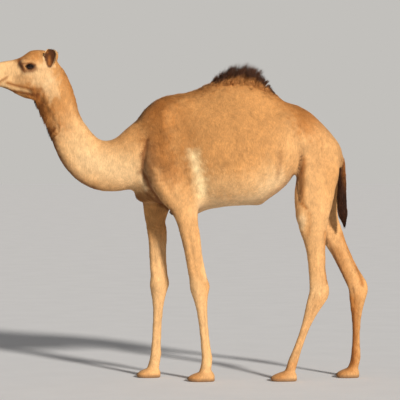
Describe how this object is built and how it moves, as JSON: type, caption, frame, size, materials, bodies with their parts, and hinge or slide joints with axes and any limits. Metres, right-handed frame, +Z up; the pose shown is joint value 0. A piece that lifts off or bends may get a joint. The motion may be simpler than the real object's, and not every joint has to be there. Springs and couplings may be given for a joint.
{
  "type": "dromedary camel",
  "caption": "Life-size still model of a slender one-humped camel standing in mid stride, with a low curved neck, a small tufted hump, long legs and broad two-toed feet.",
  "frame": {"origin": "on the ground under the middle of the animal's bounding box", "axes": "+X towards the tail, so the nose points to -X; the camel's left side faces -Y; +Z up"},
  "size_m": [2.522, 0.56, 2.1819],
  "materials": {
    "coat_body": "short sandy tan coat, dull",
    "coat_pale": "short pale cream-tan coat, dull",
    "dark_hair": "long dark brown hair",
    "horn": "dull dark horn",
    "callus": "bare horny skin",
    "eye": "wet, very dark brown"
  },
  "bodies": {
    "root": {"chest_pad": "callus", "ear_left": "coat_body", "ear_right": "coat_body", "eye_left": "eye", "eye_right": "eye", "foreleg_left_cannon": "coat_body", "foreleg_left_foot": "coat_body", "foreleg_left_forearm": "coat_body", "foreleg_left_nail_1": "horn", "foreleg_left_nail_2": "horn", "foreleg_left_shoulder": "coat_body", "foreleg_right_cannon": "coat_body", "foreleg_right_foot": "coat_body", "foreleg_right_forearm": "coat_body", "foreleg_right_nail_1": "horn", "foreleg_right_nail_2": "horn", "foreleg_right_shoulder": "coat_body", "head": "coat_pale", "hindleg_left_cannon": "coat_body", "hindleg_left_foot": "coat_body", "hindleg_left_nail_1": "horn", "hindleg_left_nail_2": "horn", "hindleg_left_shank": "coat_body", "hindleg_left_thigh": "coat_body", "hindleg_right_cannon": "coat_body", "hindleg_right_foot": "coat_body", "hindleg_right_nail_1": "horn", "hindleg_right_nail_2": "horn", "hindleg_right_shank": "coat_body", "hindleg_right_thigh": "coat_body", "hump": "coat_body", "hump_crest": "dark_hair", "lower_jaw": "coat_pale", "neck_lower": "coat_pale", "neck_upper": "coat_pale", "tail": "coat_body", "tail_tuft": "dark_hair", "trunk": "coat_body"}
  },
  "joints": []
}
